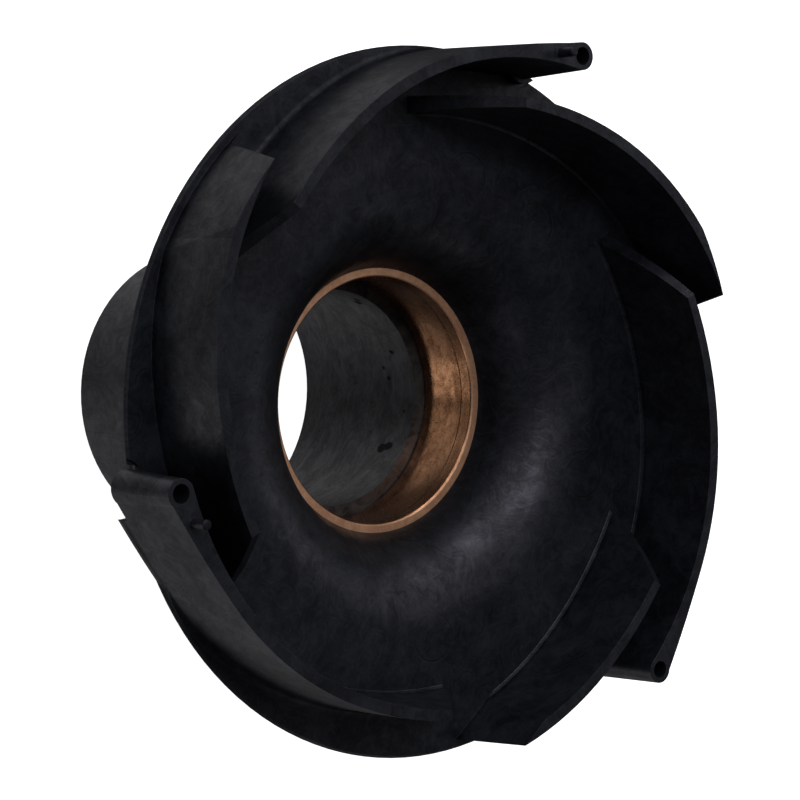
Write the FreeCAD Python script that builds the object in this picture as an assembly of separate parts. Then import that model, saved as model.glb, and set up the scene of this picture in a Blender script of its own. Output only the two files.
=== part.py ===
import FreeCAD, Part
import math
import os

# Guide vane of a pool pump: a moulded diffuser with a bronze wear ring pressed into its eye.
# Millimetres. Z runs up the axis: the tube's end face lies at Z = 0 and the vanes stand up at
# the top. Seen from above, each vane spirals outwards clockwise. The first screw boss is on +X.

# Wear ring and its pocket
ring_r = 41.0
ring_wall = 2.8
ring_length = 23.4
ring_chamfer = 0.6
mouth_step = 1.2
mouth_depth = 2.4

# Tube and conical bore
pocket_wall = 6.5
inlet_wall = 2.5
inlet_edge = 0.6
throat_step = 6.7
throat_z = 72.4

# Dished plate
dish_depth = 19.7
flare_r = 30.0
plate_wall = 3.0
rim_r = 107.4
rim_chamfer = 0.7
rim_lip = 0.5
rim_bevel = 7.0
hub_fillet = 3.0

# Vanes: each face is a chain of tangent arcs
vane_count = 6
vane_height = 29.4
vane_draft = 2.2
vane_sweep = 84.2
vane_foot_depth = 1.1
nose_inset = 19.0
nose_arc_ratio = 1.38
nose_arc_turn = 28.0
nose_wall = 2.6
vane_wall = 3.45
lead_margin = 3.0
lead_run = 21.4
lead_bow = 1.0
tip_inset = 2.7
outer_root_r = 2.4
inner_root_r = 0.8

# The short vane
short_turn = 51.0
short_tip_turn = 56.8
short_tip_wall = 3.9
short_bevel = 27.7
short_excess = 6.0

# Screw bosses, which overhang the rim, and locating pins
boss_overhang = 3.5
screw_hole_r = 2.7
boss_r = 4.2
boss_swell_turn = 20.0
boss_foot_gap = 3.2
relief_r = 9.0
pad_r = 6.6
groove_r = 8.0
groove_depth = 0.8
pin_r = 1.5
pin_height = 6.2
pin_chamfer = 0.4
pin_turn = 4.6

# Worked out from the sizes above
ring_bore_r = ring_r - ring_wall
mouth_r = ring_r + mouth_step
tube_r = ring_r + pocket_wall
inlet_r = tube_r - inlet_wall
throat_r = ring_r - throat_step
ring_top_z = throat_z + ring_length
mouth_z = ring_top_z + mouth_depth
face_z = mouth_z + dish_depth
back_z = face_z - plate_wall
foot_z = face_z - vane_foot_depth
top_z = face_z + vane_height
nose_r = rim_r - nose_inset
nose_arc_r = nose_r * nose_arc_ratio
tip_r = rim_r - tip_inset
screw_circle_r = rim_r + boss_overhang
vane_pitch = 360.0 / vane_count
cutter_size = 60.0
axis = FreeCAD.Vector(0, 0, 1)


def at(radius, angle, z=0):
    """Point at a radius and an angle in degrees about the axis."""
    turn = math.radians(angle)
    return FreeCAD.Vector(radius * math.cos(turn), radius * math.sin(turn), z)


def turned(shape, angle):
    """Copy of a shape turned about the axis."""
    copy = shape.copy()
    copy.rotate(FreeCAD.Vector(), axis, angle)
    return copy


def line(start, end):
    return Part.LineSegment(start, end).toShape()


def arc(start, middle, end):
    return Part.Arc(start, middle, end).toShape()


def on_circle(centre, radius, angle):
    """Point of a circle in the XZ plane."""
    turn = math.radians(angle)
    return centre + FreeCAD.Vector(radius * math.cos(turn), 0, radius * math.sin(turn))


def revolved(edges):
    """Solid of revolution of a closed profile in the XZ plane."""
    return Part.makeSolid(Part.Face(Part.Wire(edges)).revolve(FreeCAD.Vector(), axis, 360))


def plate_and_tube():
    """Conical bore, ring pocket, flared dish, flat plate with its bevelled rim, and the tube."""
    # The flare is one arc from the mouth's edge, tangent to the flat plate.
    flare_drop = flare_r - dish_depth
    flat_start_r = mouth_r + math.sqrt(flare_r ** 2 - flare_drop ** 2)
    flare_centre = FreeCAD.Vector(flat_start_r, 0, face_z - flare_r)
    mouth_angle = 180 - math.degrees(math.asin(flare_drop / flare_r))
    flare_middle = on_circle(flare_centre, flare_r, (mouth_angle + 90) / 2)
    # The back of the flare runs parallel to its front and is rounded into the tube.
    back_r = flare_r - plate_wall
    hub_run = flat_start_r - tube_r - hub_fillet
    hub_angle = 180 - math.degrees(math.acos(hub_run / (back_r - hub_fillet)))
    hub_centre = on_circle(flare_centre, back_r - hub_fillet, hub_angle)
    hub_middle = on_circle(hub_centre, hub_fillet, (hub_angle + 180) / 2)
    back_start = on_circle(flare_centre, back_r, hub_angle)
    back_middle = on_circle(flare_centre, back_r, (hub_angle + 90) / 2)
    tube_top = FreeCAD.Vector(tube_r, 0, hub_centre.z)
    inlet_lip = FreeCAD.Vector(inlet_r + inlet_edge, 0, 0)
    inlet = FreeCAD.Vector(inlet_r, 0, inlet_edge)
    throat = FreeCAD.Vector(throat_r, 0, throat_z)
    pocket = FreeCAD.Vector(ring_r, 0, throat_z)
    pocket_top = FreeCAD.Vector(ring_r, 0, ring_top_z)
    mouth = FreeCAD.Vector(mouth_r, 0, mouth_z)
    flat_start = FreeCAD.Vector(flat_start_r, 0, face_z)
    flat_end = FreeCAD.Vector(rim_r - rim_chamfer, 0, face_z)
    rim_front = FreeCAD.Vector(rim_r, 0, face_z - rim_chamfer)
    rim_back = FreeCAD.Vector(rim_r, 0, face_z - rim_chamfer - rim_lip)
    bevel_end = FreeCAD.Vector(rim_r - rim_bevel, 0, back_z)
    back_flat = FreeCAD.Vector(flat_start_r, 0, back_z)
    tube_end = FreeCAD.Vector(tube_r, 0, 0)
    return revolved([
        line(inlet_lip, inlet),
        line(inlet, throat),
        line(throat, pocket),
        line(pocket, pocket_top),
        line(pocket_top, mouth),
        arc(mouth, flare_middle, flat_start),
        line(flat_start, flat_end),
        line(flat_end, rim_front),
        line(rim_front, rim_back),
        line(rim_back, bevel_end),
        line(bevel_end, back_flat),
        arc(back_flat, back_middle, back_start),
        arc(back_start, hub_middle, tube_top),
        line(tube_top, tube_end),
        line(tube_end, inlet_lip),
    ])


def heading(vector):
    """Direction of a vector across the axis, in degrees."""
    return math.degrees(math.atan2(vector.y, vector.x))


def tangent_arc(joint, normal_angle, target):
    """Arc as centre, radius and two headings, from a joint where it is square to a normal."""
    normal = at(1, normal_angle)
    chord = target - joint
    centre = joint + normal * (chord.Length ** 2 / (2 * chord.dot(normal)))
    return centre, (joint - centre).Length, normal_angle, heading(target - centre)


def inner_arcs():
    """Inner face of a vane at its top: it leaves the nose square and runs out to the boss."""
    nose_centre = at(nose_r - nose_arc_r, vane_sweep)
    joint_angle = vane_sweep - nose_arc_turn
    joint = nose_centre + at(nose_arc_r, joint_angle)
    nose_arc = (nose_centre, nose_arc_r, vane_sweep + lead_margin, joint_angle)
    return [nose_arc, tangent_arc(joint, joint_angle, at(screw_circle_r - boss_r, 0))]


def outer_nose_arc():
    """Outer face near the nose, where the wall grows to its full thickness."""
    (nose_centre, radius, margin_angle, joint_angle), run = inner_arcs()
    joint = nose_centre + at(radius + vane_wall, joint_angle)
    arc_to_nose = tangent_arc(joint, joint_angle, at(nose_r + nose_wall, vane_sweep))
    centre, radius, joint_angle, nose_angle = arc_to_nose
    return centre, radius, nose_angle + lead_margin, joint_angle


def plain_outer_arcs():
    """Outer face of a vane of even thickness."""
    centre, radius, start, end = inner_arcs()[1]
    return [outer_nose_arc(), (centre, radius + vane_wall, start, end)]


def bossed_outer_arcs():
    """Outer face that swells smoothly to the outside of the boss."""
    nose_arc, (centre, radius, start, end) = plain_outer_arcs()
    swell_angle = end + boss_swell_turn
    joint = centre + at(radius, swell_angle)
    swell = tangent_arc(joint, swell_angle, at(screw_circle_r + boss_r, 0))
    return [nose_arc, (centre, radius, start, swell_angle), swell]


def short_arcs():
    """Both faces of the short vane, drawn a little past its bevelled end."""
    inner_nose, (centre, radius, start, end) = inner_arcs()
    inner_angle = vane_sweep - short_turn
    inner_end = at(face_radius((centre, radius), inner_angle), inner_angle)
    inner_run = (centre, radius, start, heading(inner_end - centre) - short_excess)
    tip_angle = vane_sweep - short_tip_turn
    tip = at(face_radius((centre, radius), tip_angle) + short_tip_wall, tip_angle)
    joint = centre + at(radius + vane_wall, start)
    centre, radius, start, end = tangent_arc(joint, start, tip)
    outer_run = (centre, radius, start, end - short_excess)
    return [inner_nose, inner_run], [outer_nose_arc(), outer_run]


def face_radius(face_arc, angle):
    """Distance from the axis at which a face's arc crosses a direction."""
    centre, radius = face_arc[:2]
    along = centre.dot(at(1, angle))
    return along + math.sqrt(radius ** 2 - centre.Length ** 2 + along ** 2)


def face_edges(arcs, offset, z):
    """Edges of a vane's face at a height, moved outwards by an offset."""
    edges = []
    for centre, radius, start, end in arcs:
        angles = (start, (start + end) / 2, end)
        edges.append(arc(*[centre + at(radius + offset, angle, z) for angle in angles]))
    return edges


def outline(inner_face, outer_face, z):
    """Closed outline of a vane at a height. Both faces spread towards the foot by the draft."""
    spread = (top_z - z) * math.tan(math.radians(vane_draft))
    inner = face_edges(inner_face, -spread, z)
    outer = face_edges(outer_face, spread, z)
    start = line(outer[0].firstVertex().Point, inner[0].firstVertex().Point)
    end = line(inner[-1].lastVertex().Point, outer[-1].lastVertex().Point)
    return Part.Wire(Part.sortEdges([start] + inner + [end] + outer)[0])


def leading_cut():
    """What is cut away ahead of the swept leading edge, which is a shallow arc in side view."""
    mean_r = nose_r + nose_wall / 2
    mean_angle = vane_sweep - math.degrees(lead_run / mean_r) / 2
    along = at(1, mean_angle - 90, 0)
    origin = at(mean_r - cutter_size / 2, mean_angle, 0)

    def side(run, z):
        return origin + along * run + axis * z

    half = lead_run / 2
    slope = FreeCAD.Vector(lead_run, vane_height, 0).normalize()
    low = side(-half - plate_wall * slope.x, face_z - plate_wall * slope.y)
    edge_foot = side(-half, face_z)
    edge_middle = side(-lead_bow * slope.y, face_z + vane_height / 2 + lead_bow * slope.x)
    edge_top = side(half, top_z)
    above = side(half, top_z + plate_wall)
    ahead_high = side(-cutter_size, top_z + plate_wall)
    ahead_low = side(-cutter_size, face_z - plate_wall * slope.y)
    face = Part.Face(Part.Wire([
        line(low, edge_foot),
        arc(edge_foot, edge_middle, edge_top),
        line(edge_top, above),
        line(above, ahead_high),
        line(ahead_high, ahead_low),
        line(ahead_low, low),
    ]))
    return face.extrude(at(cutter_size, mean_angle, 0))


def root(face_arc, side, size):
    """Root along the foot of a vane's face: rounded on its outer side (1), bevelled inside (-1)."""
    centre, radius, start, end = face_arc
    slope = math.radians(vane_draft)
    foot_r = radius + side * vane_height * math.tan(slope)
    plate_r = foot_r + side * size * (1 - math.sin(slope)) / math.cos(slope)
    round_centre = FreeCAD.Vector(plate_r, 0, face_z + size)

    def on_round(angle):
        return round_centre - FreeCAD.Vector(side * math.cos(angle), 0, math.sin(angle)) * size

    on_plate = FreeCAD.Vector(plate_r, 0, face_z)
    on_wall = on_round(slope)
    inside_r = foot_r - side * nose_wall / 2
    inside_top = FreeCAD.Vector(inside_r, 0, on_wall.z)
    inside_foot = FreeCAD.Vector(inside_r, 0, foot_z)
    plate_foot = FreeCAD.Vector(plate_r, 0, foot_z)
    if side > 0:
        toe = arc(on_plate, on_round((slope + math.pi / 2) / 2), on_wall)
    else:
        toe = line(on_plate, on_wall)
    face = Part.Face(Part.Wire([
        toe,
        line(on_wall, inside_top),
        line(inside_top, inside_foot),
        line(inside_foot, plate_foot),
        line(plate_foot, on_plate),
    ]))
    solid = face.revolve(FreeCAD.Vector(), axis, start - end)
    solid.rotate(FreeCAD.Vector(), axis, end)
    solid.translate(centre)
    return solid


def wall_solid(inner_face, outer_face, outer_root=0):
    """A vane's wall with its roots on the plate and its leading edge swept back."""
    sections = [outline(inner_face, outer_face, z) for z in (foot_z, top_z)]
    roots = [root(face_arc, -1, inner_root_r) for face_arc in inner_face]
    if outer_root > 0:
        roots += [root(face_arc, 1, outer_root) for face_arc in outer_face]
    start = FreeCAD.Vector(0, 0, foot_z)
    inside_rim = Part.makeCylinder(rim_r - rim_chamfer, vane_height, start, axis)
    roots = [shape.common(inside_rim) for shape in roots]
    return Part.makeLoft(sections, True, True).fuse(roots).cut(leading_cut())


def plain_vane():
    """Vane that runs out to a sharp tip, where the outside is round to fit the housing."""
    start = FreeCAD.Vector(0, 0, foot_z)
    housing_bore = Part.makeCylinder(tip_r, top_z - foot_z, start, axis)
    return wall_solid(inner_arcs(), plain_outer_arcs()).common(housing_bore)


def short_vane():
    """Vane that stops early, with its inner face bevelled off towards the outer tip."""
    angle = vane_sweep - short_turn
    start = FreeCAD.Vector(-cutter_size / 2, -cutter_size, -cutter_size / 2)
    bevel = Part.makeBox(cutter_size, cutter_size, cutter_size * 2, start)
    bevel.rotate(FreeCAD.Vector(), axis, angle - 90 + short_bevel)
    bevel.translate(at(face_radius(inner_arcs()[1], angle), angle, foot_z))
    return wall_solid(*short_arcs()).cut(bevel)


def bossed_vane():
    """Vane that ends in a round screw boss, whose foot hangs clear of the rim."""
    foot = FreeCAD.Vector(screw_circle_r, 0, foot_z)
    spread = (top_z - foot_z) * math.tan(math.radians(vane_draft))
    boss = Part.makeCone(boss_r + spread, boss_r, top_z - foot_z, foot, axis)
    relief = Part.makeCylinder(relief_r, vane_foot_depth + boss_foot_gap, foot, axis)
    wall = wall_solid(inner_arcs(), bossed_outer_arcs(), outer_root_r)
    return wall.fuse(boss).cut(relief)


def boss_pad():
    """Round pad on the plate under a boss, cut off flush with the rim."""
    start = FreeCAD.Vector(screw_circle_r, 0, face_z - rim_chamfer)
    height = rim_chamfer + boss_foot_gap
    pad = Part.makeCylinder(pad_r, height, start, axis)
    inside_rim = Part.makeCylinder(rim_r, height, FreeCAD.Vector(0, 0, start.z), axis)
    return pad.common(inside_rim)


def pad_groove():
    """Ring cut in the plate's face round a pad."""
    start = FreeCAD.Vector(screw_circle_r, 0, face_z - groove_depth)
    outside = Part.makeCylinder(groove_r, plate_wall, start, axis)
    return outside.cut(Part.makeCylinder(pad_r, plate_wall, start, axis))


def screw_hole():
    start = FreeCAD.Vector(screw_circle_r, 0, back_z)
    return Part.makeCylinder(screw_hole_r, vane_height * 2, start, axis)


def locating_pin():
    """Round pin on top of a bossed vane, in the middle of its wall just ahead of the boss."""
    inner = face_radius(inner_arcs()[-1], pin_turn)
    outer = face_radius(bossed_outer_arcs()[-1], pin_turn)
    start = at((inner + outer) / 2, pin_turn, top_z - plate_wall)
    pin = Part.makeCylinder(pin_r, plate_wall + pin_height, start, axis)
    end = [e for e in pin.Edges if e.BoundBox.ZMin > top_z]
    return pin.makeChamfer(pin_chamfer, end)


def guide_vane():
    """The moulded body: tube, plate, and six vanes, bossed and plain in turn."""
    bossed, plain = bossed_vane(), plain_vane()
    added = []
    for number in range(vane_count):
        vane = plain if number % 2 else bossed
        if number == 3:
            vane = short_vane()
        added.append(turned(vane, -number * vane_pitch))
    for number in (0, 4):
        added.append(turned(locating_pin(), -number * vane_pitch))
    plate = plate_and_tube()
    holes = []
    for number in (0, 2, 4):
        plate = plate.cut(turned(pad_groove(), -number * vane_pitch))
        added.append(turned(boss_pad(), -number * vane_pitch))
        holes.append(turned(screw_hole(), -number * vane_pitch))
    return plate.fuse(added).cut(holes).removeSplitter()


def wear_ring():
    """Plain bronze ring with both ends of its bore chamfered."""
    corners = [
        FreeCAD.Vector(ring_bore_r + ring_chamfer, 0, throat_z),
        FreeCAD.Vector(ring_r, 0, throat_z),
        FreeCAD.Vector(ring_r, 0, ring_top_z),
        FreeCAD.Vector(ring_bore_r + ring_chamfer, 0, ring_top_z),
        FreeCAD.Vector(ring_bore_r, 0, ring_top_z - ring_chamfer),
        FreeCAD.Vector(ring_bore_r, 0, throat_z + ring_chamfer),
    ]
    return revolved([line(a, b) for a, b in zip(corners, corners[1:] + corners[:1])])


os.makedirs("parts", exist_ok=True)
for name, make in (("guide_vane", guide_vane), ("wear_ring", wear_ring)):
    shape = make()
    print(name, shape.isValid(), len(shape.Solids), "solids", round(shape.Volume), "mm3")
    shape.exportStep("parts/" + name + ".step")
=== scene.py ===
"""A pool pump's moulded guide vane with its bronze wear ring, dressed for the render."""
import math

import bpy
from mathutils import Euler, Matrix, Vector


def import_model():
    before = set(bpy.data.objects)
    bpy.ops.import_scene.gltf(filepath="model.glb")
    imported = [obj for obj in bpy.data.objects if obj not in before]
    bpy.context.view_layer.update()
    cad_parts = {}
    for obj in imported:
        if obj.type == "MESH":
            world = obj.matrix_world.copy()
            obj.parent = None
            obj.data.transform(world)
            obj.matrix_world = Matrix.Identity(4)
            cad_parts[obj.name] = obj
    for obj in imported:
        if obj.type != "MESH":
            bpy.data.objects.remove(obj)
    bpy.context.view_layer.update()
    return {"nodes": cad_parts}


MM = 0.001

# Camera, solved from the ellipses that the ring, the tube and the rim make in the photograph
CAMERA_AT = Vector((-128.81, 462.17, 685.03)) * MM
CAMERA_TURN = (-2.5919, -39.5836, -70.2983)
LENS = 110.64
SENSOR = 36.0

# Sizes of the part that the materials follow, in millimetres, and the slack where heights are compared
THROAT_Z = 72.4
MOUTH_R = 42.5
MOUTH_Z = 98.2
FACE_Z = 117.9
CUT_R = 45.6
TUBE_R = 47.5
RING_BORE_R = 38.2
RING_LINE_Z = 90.9
SLACK = 0.1

# Round marks that the ejectors left on the plate: radius and turn of each centre, and their size
EJECTORS = ((71.0, -90.8), (71.7, -157.5), (71.0, 5.8), (70.5, -20.1))
EJECTOR_R = 7.3

# Voids that the cutter opened in the bore: their radius, then each one's turn, height and half sizes,
# first along the axis and then across it
VOID_R = 36.0
VOIDS = ((-99.9, 58.6, 2.4, 1.6), (-98.7, 62.2, 2.3, 1.4), (-13.5, 61.2, 2.2, 0.9), (-10.0, 63.0, 1.6, 0.9),
         (-47.6, 61.9, 1.4, 0.6), (-57.3, 54.3, 0.9, 0.6), (-62.5, 56.4, 1.2, 0.6), (-79.3, 66.4, 0.9, 0.5))

# Seams of the mould: turn of the one along the tube, and of the one across the plate
TUBE_SEAM = 124.5
PLATE_SEAM = -153.5

# Crease on each plain vane's outer wall: its turn at half height and its least radius, then by how
# much the shading is turned across it, and how far the softening reaches either side
CREASE_TURN = 82.2
CREASE_R = 102.4
CREASE_SOFTENING = 12.8
CREASE_REACH = 7.0
PLAIN_VANES = 3

# Point that the lamps aim at, and how far off they stand, in metres
LAMP_AIM = Vector((0, 0, 0.11))
LAMP_DISTANCE = 1.8

# Soft square lamps round the part: name, turn and rise in degrees, size in metres, power in watts
LAMPS = (
    ("key", 45, 62, 0.5, 8.3),
    ("key_mid", 36, 38, 0.5, 1.6),
    ("key_left", 62, 36, 0.5, 0.8),
    ("key_right", 12, 32, 0.5, 4.4),
    ("key_end", 342, 26, 0.5, 2.4),
    ("side", 318, 42, 0.6, 1.15),
    ("side_low", 300, 25, 0.6, 1.1),
    ("under", 222, 16, 0.9, 1.4),
    ("under_right", 265, 35, 0.6, 0.4),
    ("fill", 155, 36, 0.6, 0.8),
    ("front_low", 110, 12, 0.5, 3.0),
    ("top", 290, 78, 0.6, 0.4),
    ("rear_high", 24, -48, 1.6, 3.2),
    ("rear_mid", 85, -52, 0.7, 0.55),
    ("rear_ring", 130, -49, 0.7, 1.0),
    ("rear_low", 188, -48, 1.6, 2.1),
    ("rear_left", 150, -25, 0.8, 2.3),
    ("rear_under", 220, -25, 0.8, 1.2),
)

# Even light from all round
AMBIENT = 0.04


class Nodes:
    """Short calls for building one material's node tree."""

    def __init__(self, name):
        self.material = bpy.data.materials.new(name)
        self.material.use_nodes = True
        self.tree = self.material.node_tree
        self.shader = self.tree.nodes["Principled BSDF"]

    def add(self, kind, **values):
        node = self.tree.nodes.new(kind)
        for key, value in values.items():
            setattr(node, key, value)
        return node

    def put(self, socket, value):
        """Joins an output to a socket, or sets the socket's own value."""
        if isinstance(value, bpy.types.NodeSocket):
            self.tree.links.new(value, socket)
        else:
            socket.default_value = value

    def math(self, operation, a, b=0.0, c=0.0, clamp=False):
        node = self.add("ShaderNodeMath", operation=operation, use_clamp=clamp)
        for socket, value in zip(node.inputs, (a, b, c)):
            self.put(socket, value)
        return node.outputs[0]

    def total(self, values, operation="ADD"):
        result = values[0]
        for value in values[1:]:
            result = self.math(operation, result, value)
        return result

    def times(self, a, b):
        return self.math("MULTIPLY", a, b)

    def weighted(self, *terms):
        """Sum of numbers, each times its weight."""
        return self.total([self.times(value, weight) for value, weight in terms])

    def blend(self, share, a, b):
        """Mix of two numbers."""
        return self.math("MULTIPLY_ADD", self.math("SUBTRACT", b, a), share, a)

    def vector(self, operation, a, b=(0, 0, 0)):
        node = self.add("ShaderNodeVectorMath", operation=operation)
        self.put(node.inputs[0], a)
        self.put(node.inputs[1], b)
        return node.outputs["Value" if operation in ("LENGTH", "DISTANCE", "DOT_PRODUCT") else "Vector"]

    def step(self, value, low, high, start=0.0, end=1.0):
        """Smooth ramp of a value between two limits."""
        node = self.add("ShaderNodeMapRange", interpolation_type="SMOOTHSTEP")
        for socket, number in zip(node.inputs, (value, low, high, start, end)):
            self.put(socket, number)
        return node.outputs[0]

    def line(self, value, centre, half_width):
        """One where a value is at the centre, falling to nought over the half width."""
        away = self.math("ABSOLUTE", self.math("SUBTRACT", value, centre))
        return self.step(away, 0.0, half_width, 1.0, 0.0)

    def noise(self, place, scale, detail=3.0, rough=0.5, bend=0.0):
        node = self.add("ShaderNodeTexNoise")
        self.put(node.inputs["Vector"], place)
        self.put(node.inputs["Scale"], scale)
        self.put(node.inputs["Detail"], detail)
        self.put(node.inputs["Roughness"], rough)
        self.put(node.inputs["Distortion"], bend)
        return node.outputs["Fac"]

    def mix(self, share, a, b):
        """Mix of two colours."""
        node = self.add("ShaderNodeMix", data_type="RGBA")
        self.put(node.inputs["Factor"], share)
        self.put(node.inputs[6], a)
        self.put(node.inputs[7], b)
        return node.outputs[2]

    def bump(self, height, distance, normal=None, strength=1.0):
        node = self.add("ShaderNodeBump")
        self.put(node.inputs["Height"], height)
        self.put(node.inputs["Distance"], distance)
        self.put(node.inputs["Strength"], strength)
        if normal is not None:
            self.put(node.inputs["Normal"], normal)
        return node.outputs["Normal"]

    def bevel(self, radius):
        node = self.add("ShaderNodeBevel", samples=4)
        self.put(node.inputs["Radius"], radius)
        return node.outputs["Normal"]

    def place(self):
        """Place in millimetres, with its height, radius and turn about the axis."""
        coords = self.add("ShaderNodeTexCoord").outputs["Object"]
        place = self.vector("MULTIPLY", coords, (1000.0, 1000.0, 1000.0))
        split = self.add("ShaderNodeSeparateXYZ")
        self.put(split.inputs[0], place)
        x, y, z = split.outputs
        flat = self.vector("MULTIPLY", place, (1.0, 1.0, 0.0))
        return place, z, self.vector("LENGTH", flat), self.math("ARCTAN2", y, x)

    def join(self, x, y, z):
        node = self.add("ShaderNodeCombineXYZ")
        for socket, value in zip(node.inputs, (x, y, z)):
            self.put(socket, value)
        return node.outputs[0]


def grey(value, blue=0.0):
    return (value, value * (1 + blue * 0.4), value * (1 + blue), 1.0)


def on_circle(radius, turn):
    angle = math.radians(turn)
    return radius * math.cos(angle), radius * math.sin(angle)


def moulded_tone(n, place, z, radius, turn):
    """Cloudy flow marks of the melt, with hairs of glass fibre that run outwards over the plate."""
    flow = n.noise(place, 0.05, 6.0, 0.66, 0.7)
    cloud = n.noise(place, 0.22, 6.0, 0.70, 0.4)
    bent = n.math("MULTIPLY_ADD", n.noise(place, 0.06, 2.0, 0.5), 1.1, turn)
    outward = n.join(n.times(bent, 26.0), n.times(radius, 0.075), n.times(z, 0.075))
    hairs = n.noise(outward, 1.0, 5.0, 0.7, 0.7)
    smear = n.step(n.weighted((flow, 0.55), (cloud, 0.45)), 0.40, 0.64)
    return n.weighted((smear, 0.62), (n.step(hairs, 0.36, 0.68), 0.38))


def cut_tone(n, place, z, turn):
    """Swirls of fibre that the cutter laid open in the bore."""
    drift = n.noise(place, 0.045, 3.0, 0.6, 1.0)
    around = n.weighted((turn, 5.0), (drift, 9.0))
    along = n.weighted((drift, 16.0), (z, 0.55))
    fibres = n.noise(n.join(around, along, drift), 1.0, 7.0, 0.72, 0.9)
    cloud = n.noise(place, 0.13, 4.0, 0.6, 0.6)
    return n.weighted((n.step(fibres, 0.36, 0.66), 0.6), (n.step(cloud, 0.36, 0.64), 0.4))


def ejector_rings(n, place, z):
    """Thin rings where the ejectors' ends met the mould."""
    at_face = n.line(z, FACE_Z, 0.8)
    rings = []
    for radius, turn in EJECTORS:
        x, y = on_circle(radius, turn)
        away = n.vector("DISTANCE", place, (x, y, FACE_Z))
        rings.append(n.line(away, EJECTOR_R, 0.45))
    return n.times(n.total(rings, "MAXIMUM"), at_face)


def voids(n, place, in_bore):
    """Ragged pits in the machined bore."""
    ragged = n.math("MULTIPLY_ADD", n.noise(place, 1.3, 3.0, 0.7), 1.1, -0.55)
    pits = []
    for turn, height, long_half, wide_half in VOIDS:
        outward = Vector((*on_circle(1.0, turn), 0.0))
        sideways = Vector((-outward.y, outward.x, 0.0))
        spot = n.vector("SUBTRACT", place, (outward.x * VOID_R, outward.y * VOID_R, height))
        radial = n.times(n.vector("DOT_PRODUCT", spot, outward), 0.2)
        side = n.vector("DOT_PRODUCT", spot, sideways)
        up = n.times(n.vector("DOT_PRODUCT", spot, (0.0, 0.0, 1.0)), wide_half / long_half)
        away = n.math("MULTIPLY_ADD", ragged, wide_half, n.vector("LENGTH", n.join(radial, side, up)))
        pits.append(n.step(away, wide_half * 0.75, wide_half * 1.1, 1.0, 0.0))
    return n.times(n.total(pits, "MAXIMUM"), in_bore)


def seams(n, z, radius, turn):
    """Hairlines of the mould's joint, along the tube and across the plate."""
    off_tube = n.math("ABSOLUTE", n.math("SUBTRACT", turn, math.radians(TUBE_SEAM)))
    tube = n.times(n.step(n.times(off_tube, TUBE_R), 0.0, 0.28, 1.0, 0.0), n.line(radius, TUBE_R, 0.6))
    off_plate = n.math("ABSOLUTE", n.math("SUBTRACT", turn, math.radians(PLATE_SEAM)))
    on_plate = n.times(n.math("GREATER_THAN", z, MOUTH_Z), n.math("LESS_THAN", z, FACE_Z + SLACK))
    plate = n.times(n.step(n.times(off_plate, radius), 0.0, 0.5, 0.5, 0.0), on_plate)
    return n.math("MAXIMUM", tube, plate)


def soften_crease(n, normal, z, radius, turn):
    """Turns the shading normal either side of the crease where a plain vane's wall meets its round tip."""
    half_pitch = math.radians(180.0 / PLAIN_VANES)
    off = n.math("WRAP", n.math("SUBTRACT", turn, math.radians(CREASE_TURN)), half_pitch, -half_pitch)
    reach = n.step(n.math("ABSOLUTE", off), 0.0, math.radians(CREASE_REACH), 1.0, 0.0)
    side = n.math("SUBTRACT", 1.0, n.times(n.math("GREATER_THAN", off, 0.0), 2.0))
    outside = n.times(n.math("GREATER_THAN", radius, CREASE_R), n.math("GREATER_THAN", z, FACE_Z + 1.0))
    angle = n.times(n.total([reach, side, outside], "MULTIPLY"), math.radians(CREASE_SOFTENING / 2))
    node = n.add("ShaderNodeVectorRotate", rotation_type="Z_AXIS")
    n.put(node.inputs["Vector"], normal)
    n.put(node.inputs["Angle"], angle)
    return node.outputs["Vector"]


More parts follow.
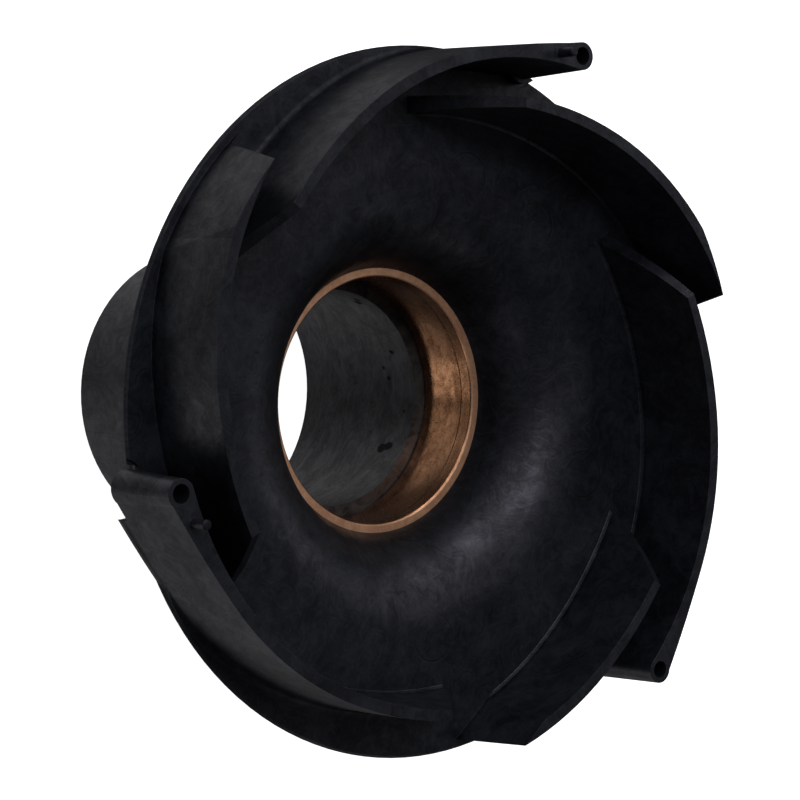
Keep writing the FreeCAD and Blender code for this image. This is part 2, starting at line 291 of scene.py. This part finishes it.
def black_plastic():
    """Glass-filled moulding: near-black satin with flow marks, greyer where it was machined, and painted
    shade on the vanes' root fillets.
    """
    n = Nodes("black_plastic")
    place, z, radius, turn = n.place()
    in_bore = n.times(n.math("LESS_THAN", radius, CUT_R), n.math("LESS_THAN", z, THROAT_Z + SLACK))
    on_tube = n.times(n.line(radius, TUBE_R, 1.0), n.step(z, MOUTH_Z, MOUTH_Z + 3.0, 1.0, 0.0))
    tone = n.blend(in_bore, moulded_tone(n, place, z, radius, turn), cut_tone(n, place, z, turn))
    grain = n.noise(place, 1.7, 3.0, 0.6)
    fine = n.noise(place, 5.0, 2.0, 0.5)
    moulded = n.mix(tone, grey(0.0016, 1.1), grey(0.0130, 0.55))
    turned = n.mix(tone, grey(0.0160, 0.12), grey(0.0400, 0.08))
    cut = n.mix(tone, grey(0.0050, 0.08), grey(0.0480, 0.03))
    colour = n.mix(in_bore, n.mix(on_tube, moulded, turned), cut)
    rings = ejector_rings(n, place, z)
    pits = voids(n, place, in_bore)
    lines = n.times(n.math("MAXIMUM", rings, seams(n, z, radius, turn)), 0.75)
    n.put(n.shader.inputs["Base Color"], n.mix(n.math("MAXIMUM", lines, pits), colour, grey(0.0012)))
    rough = n.math("MULTIPLY_ADD", tone, -0.12, 0.42)
    rough = n.math("MULTIPLY_ADD", grain, 0.08, rough)
    n.put(n.shader.inputs["Roughness"], n.math("MULTIPLY_ADD", pits, 0.4, rough, clamp=True))
    flecks = n.step(n.noise(place, 0.9, 6.0, 0.8), 0.50, 0.68)
    sheen = n.math("ADD", n.weighted((tone, 0.28), (flecks, 0.16)), 0.27)
    # Painted shade: the sheen is cut by up to 70 per cent on the vanes' root fillets, just above the
    # plate's face, to darken these corners
    lift = n.math("SUBTRACT", z, FACE_Z)
    painted_root_shade = n.times(n.step(lift, 0.04, 0.3), n.step(lift, 1.2, 3.0, 1.0, 0.0))
    sheen = n.times(sheen, n.math("MULTIPLY_ADD", painted_root_shade, -0.7, 1.0))
    n.put(n.shader.inputs["Specular IOR Level"], sheen)
    n.put(n.shader.inputs["Specular Tint"], (0.86, 0.84, 1.0, 1.0))
    height = n.weighted((tone, 1.1), (grain, 0.55), (fine, 0.25), (rings, -1.6), (pits, -18.0))
    at_mouth = n.times(n.line(radius, MOUTH_R, 2.4), n.line(z, MOUTH_Z, 2.4))
    edge = n.math("MULTIPLY_ADD", at_mouth, 0.8 * MM, 0.24 * MM)
    normal = soften_crease(n, n.bevel(edge), z, radius, turn)
    n.put(n.shader.inputs["Normal"], n.bump(height, 0.05 * MM, normal, 0.7))
    return n.material


def bronze():
    """Turned bearing bronze: coppery tan, with dull bands, dark pores and one turned line inside."""
    n = Nodes("bronze")
    place, z, radius, turn = n.place()
    bands = n.noise(n.join(n.times(turn, 4.0), n.times(z, 0.2), n.times(radius, 0.2)), 1.0, 4.0, 0.6, 0.6)
    cloud = n.noise(place, 0.35, 5.0, 0.68, 0.5)
    tone = n.step(n.weighted((bands, 0.5), (cloud, 0.5)), 0.36, 0.64)
    pores = n.step(n.noise(place, 2.6, 3.0, 0.6), 0.60, 0.70)
    inside = n.step(n.math("ABSOLUTE", n.math("SUBTRACT", radius, RING_BORE_R)), 0.15, 0.35, 1.0, 0.0)
    line = n.times(n.line(z, RING_LINE_Z, 0.28), inside)
    wall = n.mix(tone, (0.42, 0.190, 0.090, 1), (0.78, 0.390, 0.205, 1))
    face = n.mix(tone, (0.60, 0.320, 0.190, 1), (0.86, 0.490, 0.310, 1))
    dark = n.math("MAXIMUM", n.times(pores, 0.5), n.times(line, 0.8))
    n.put(n.shader.inputs["Base Color"], n.mix(dark, n.mix(inside, face, wall), (0.06, 0.028, 0.016, 1)))
    n.put(n.shader.inputs["Metallic"], n.math("MULTIPLY_ADD", inside, 0.2, 0.8))
    rough = n.math("MULTIPLY_ADD", tone, -0.08, n.math("MULTIPLY_ADD", inside, -0.24, 0.52))
    n.put(n.shader.inputs["Roughness"], n.math("MULTIPLY_ADD", pores, 0.2, rough))
    turned = n.noise(n.join(n.times(turn, 0.8), n.times(z, 4.0), n.times(radius, 4.0)), 1.0, 3.0, 0.6)
    height = n.weighted((turned, 0.8), (cloud, 0.8), (pores, -0.8), (line, -2.5))
    n.put(n.shader.inputs["Normal"], n.bump(height, 0.03 * MM, n.bevel(0.22 * MM), 0.7))
    return n.material


def floor():
    """Pale floor that takes no part in lighting the object."""
    mesh = bpy.data.meshes.new("floor")
    reach = 6.0
    corners = [(-reach, -reach, 0), (reach, -reach, 0), (reach, reach, 0), (-reach, reach, 0)]
    mesh.from_pydata(corners, [], [(0, 1, 2, 3)])
    obj = bpy.data.objects.new("floor", mesh)
    bpy.context.scene.collection.objects.link(obj)
    n = Nodes("floor_white")
    n.put(n.shader.inputs["Base Color"], (0.85, 0.85, 0.85, 1))
    n.put(n.shader.inputs["Roughness"], 0.9)
    n.put(n.shader.inputs["Specular IOR Level"], 0.0)
    n.put(n.shader.inputs["Emission Color"], (1, 1, 1, 1))
    n.put(n.shader.inputs["Emission Strength"], 1.0)
    mesh.materials.append(n.material)
    obj.visible_diffuse = False
    obj.visible_glossy = False
    obj.visible_shadow = False


def light(name, turn, rise, size, watts):
    """Square soft lamp, at a turn about the axis and a rise above the level of its aim, in degrees."""
    data = bpy.data.lights.new(name, "AREA")
    data.shape = "SQUARE"
    data.size = size
    data.energy = watts
    obj = bpy.data.objects.new(name, data)
    up = math.radians(rise)
    x, y = on_circle(math.cos(up), turn)
    way = Vector((x, y, math.sin(up)))
    obj.location = LAMP_AIM + way * LAMP_DISTANCE
    obj.rotation_euler = way.to_track_quat("Z", "Y").to_euler()
    bpy.context.scene.collection.objects.link(obj)


def camera():
    data = bpy.data.cameras.new("camera")
    data.lens = LENS
    data.sensor_width = SENSOR
    data.clip_end = 20.0
    obj = bpy.data.objects.new("camera", data)
    obj.location = CAMERA_AT
    obj.rotation_euler = Euler([math.radians(a) for a in CAMERA_TURN])
    bpy.context.scene.collection.objects.link(obj)
    bpy.context.scene.camera = obj


def world(strength):
    scene = bpy.context.scene
    scene.world = bpy.data.worlds.new("studio")
    scene.world.use_nodes = True
    back = scene.world.node_tree.nodes["Background"]
    back.inputs["Color"].default_value = (1, 1, 1, 1)
    back.inputs["Strength"].default_value = strength
    scene.view_settings.view_transform = "Standard"


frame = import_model()
nodes = frame["nodes"]
for node, material in (("guide_vane", black_plastic()), ("wear_ring", bronze())):
    for slot in nodes[node].material_slots:
        slot.link = "OBJECT"
        slot.material = material
floor()
for lamp in LAMPS:
    light(*lamp)
camera()
world(AMBIENT)
